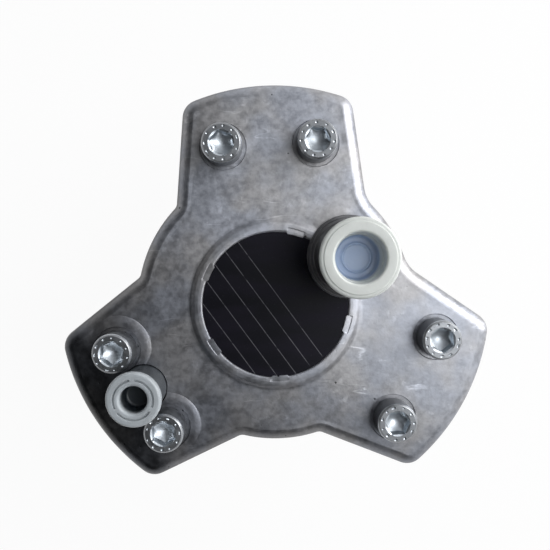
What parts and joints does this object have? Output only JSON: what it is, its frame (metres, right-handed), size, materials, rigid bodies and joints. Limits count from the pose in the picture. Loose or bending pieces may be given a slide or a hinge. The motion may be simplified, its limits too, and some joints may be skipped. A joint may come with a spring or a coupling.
{
  "type": "radial piston pump",
  "caption": "Three-lobed radial piston pump: die-cast housing, shaft with eccentric, pistons, valves and plugged suction and pressure ports.",
  "frame": {"origin": "centre of the mounting face on the shaft axis", "axes": "+Z along the shaft from the mounting face to the cover, +Y along the top lobe, +X to the right seen on the cover"},
  "size_m": [0.204, 0.1847, 0.1635],
  "materials": {
    "cast_aluminium": "bare pressure die casting, matt with small pits and stains",
    "turned_aluminium": "turned, grey, fine rings",
    "turned_steel": "turned and blued grey",
    "ground_steel": "ground",
    "bearing_steel": "hardened and polished",
    "spring_steel": "drawn wire and sheet, dark",
    "zinc_screws": "zinc plated, bright, slightly blue",
    "cage_brass": "machined",
    "black_plate": "black, satin",
    "clear_plastic": "milky polyethylene",
    "grey_plastic": "milky grey polyethylene",
    "gasket_sheet": "fibre sheet",
    "seal_rubber": "black nitrile rubber"
  },
  "bodies": {
    "housing": {"front_cover": "cast_aluminium", "rear_housing": "cast_aluminium", "housing_gasket": "gasket_sheet", "cover_screws": "zinc_screws", "nameplate_disc": "black_plate", "suction_stub": "turned_aluminium", "pressure_stub": "turned_steel", "stub_seal": "seal_rubber", "shaft_seal": "seal_rubber", "rear_bearing_outer": "bearing_steel", "front_bearing_outer": "bearing_steel", "bearing_circlip": "spring_steel", "end_plugs": "zinc_screws", "pressure_gallery": "turned_steel", "cylinder_top": "turned_steel", "piston_spring_top": "spring_steel", "outlet_spring_top": "spring_steel", "cylinder_left": "turned_steel", "piston_spring_left": "spring_steel", "outlet_spring_left": "spring_steel", "cylinder_right": "turned_steel", "piston_spring_right": "spring_steel", "outlet_spring_right": "spring_steel"},
    "shaft": {"drive_shaft": "ground_steel", "shaft_key": "ground_steel", "rear_bearing_inner": "bearing_steel", "front_bearing_inner": "bearing_steel", "eccentric_circlip": "spring_steel"},
    "rear_bearing_set": {"rear_bearing_balls": "bearing_steel", "rear_bearing_cage": "cage_brass"},
    "front_bearing_set": {"front_bearing_rollers": "bearing_steel", "front_bearing_cage": "cage_brass"},
    "eccentric_set": {"eccentric_rollers": "bearing_steel", "eccentric_cage": "cage_brass"},
    "ring": {"eccentric_ring": "bearing_steel"},
    "suction_plug": {"suction_cap": "clear_plastic"},
    "pressure_plug": {"pressure_cap": "grey_plastic"},
    "piston_top_body": {"piston_top": "ground_steel"},
    "inlet_disc_top_body": {"inlet_disc_top": "bearing_steel"},
    "outlet_ball_top_body": {"outlet_ball_top": "bearing_steel"},
    "piston_left_body": {"piston_left": "ground_steel"},
    "inlet_disc_left_body": {"inlet_disc_left": "bearing_steel"},
    "outlet_ball_left_body": {"outlet_ball_left": "bearing_steel"},
    "piston_right_body": {"piston_right": "ground_steel"},
    "inlet_disc_right_body": {"inlet_disc_right": "bearing_steel"},
    "outlet_ball_right_body": {"outlet_ball_right": "bearing_steel"}
  },
  "joints": [
    {"name": "shaft_spin", "type": "hinge", "parent": "housing", "child": "shaft", "pos_m": [0, 0, 0], "axis": [0, 0, 1], "continuous": true},
    {"name": "rear_bearing_spin", "type": "hinge", "parent": "housing", "child": "rear_bearing_set", "pos_m": [0, 0, 0.011], "axis": [0, 0, 1], "continuous": true},
    {"name": "front_bearing_spin", "type": "hinge", "parent": "housing", "child": "front_bearing_set", "pos_m": [0, 0, 0.0625], "axis": [0, 0, 1], "continuous": true},
    {"name": "eccentric_set_spin", "type": "hinge", "parent": "shaft", "child": "eccentric_set", "pos_m": [0, 0.00377, 0.04], "axis": [0, 0, 1], "continuous": true},
    {"name": "ring_on_eccentric", "type": "hinge", "parent": "shaft", "child": "ring", "pos_m": [0, 0.00377, 0.04], "axis": [0, 0, 1], "continuous": true},
    {"name": "piston_top_stroke", "type": "slide", "parent": "housing", "child": "piston_top_body", "axis": [0, 1, 0], "range_m": [0, 0.00754], "stiffness_N_per_m": 1500, "springref_m": -0.004, "deforming": ["piston_spring_top"]},
    {"name": "piston_left_stroke", "type": "slide", "parent": "housing", "child": "piston_left_body", "axis": [-0.866, -0.5, 0], "range_m": [0, 0.00754], "stiffness_N_per_m": 1500, "springref_m": -0.004, "deforming": ["piston_spring_left"]},
    {"name": "piston_right_stroke", "type": "slide", "parent": "housing", "child": "piston_right_body", "axis": [0.866, -0.5, 0], "range_m": [0, 0.00754], "stiffness_N_per_m": 1500, "springref_m": -0.004, "deforming": ["piston_spring_right"]},
    {"name": "inlet_disc_top_lift", "type": "slide", "parent": "piston_top_body", "child": "inlet_disc_top_body", "axis": [0, 1, 0], "range_m": [0, 0.001]},
    {"name": "inlet_disc_left_lift", "type": "slide", "parent": "piston_left_body", "child": "inlet_disc_left_body", "axis": [-0.866, -0.5, 0], "range_m": [0, 0.001]},
    {"name": "inlet_disc_right_lift", "type": "slide", "parent": "piston_right_body", "child": "inlet_disc_right_body", "axis": [0.866, -0.5, 0], "range_m": [0, 0.001]},
    {"name": "outlet_ball_top_lift", "type": "slide", "parent": "housing", "child": "outlet_ball_top_body", "axis": [0, 1, 0], "range_m": [0, 0.0012], "stiffness_N_per_m": 500, "springref_m": -0.002, "deforming": ["outlet_spring_top"]},
    {"name": "outlet_ball_left_lift", "type": "slide", "parent": "housing", "child": "outlet_ball_left_body", "axis": [-0.866, -0.5, 0], "range_m": [0, 0.0012], "stiffness_N_per_m": 500, "springref_m": -0.002, "deforming": ["outlet_spring_left"]},
    {"name": "outlet_ball_right_lift", "type": "slide", "parent": "housing", "child": "outlet_ball_right_body", "axis": [0.866, -0.5, 0], "range_m": [0, 0.0012], "stiffness_N_per_m": 500, "springref_m": -0.002, "deforming": ["outlet_spring_right"]},
    {"name": "suction_plug_lift", "type": "slide", "parent": "housing", "child": "suction_plug", "axis": [0, 0, 1], "range_m": [0, 0.03]},
    {"name": "pressure_plug_lift", "type": "slide", "parent": "housing", "child": "pressure_plug", "axis": [0, 0, 1], "range_m": [0, 0.03]}
  ],
  "couplings": [
    {"joint": "rear_bearing_spin", "follows": "shaft_spin", "ratio": 0.39652},
    {"joint": "front_bearing_spin", "follows": "shaft_spin", "ratio": 0.39583},
    {"joint": "eccentric_set_spin", "follows": "shaft_spin", "ratio": -0.575},
    {"joint": "ring_on_eccentric", "follows": "shaft_spin", "ratio": -1}
  ]
}
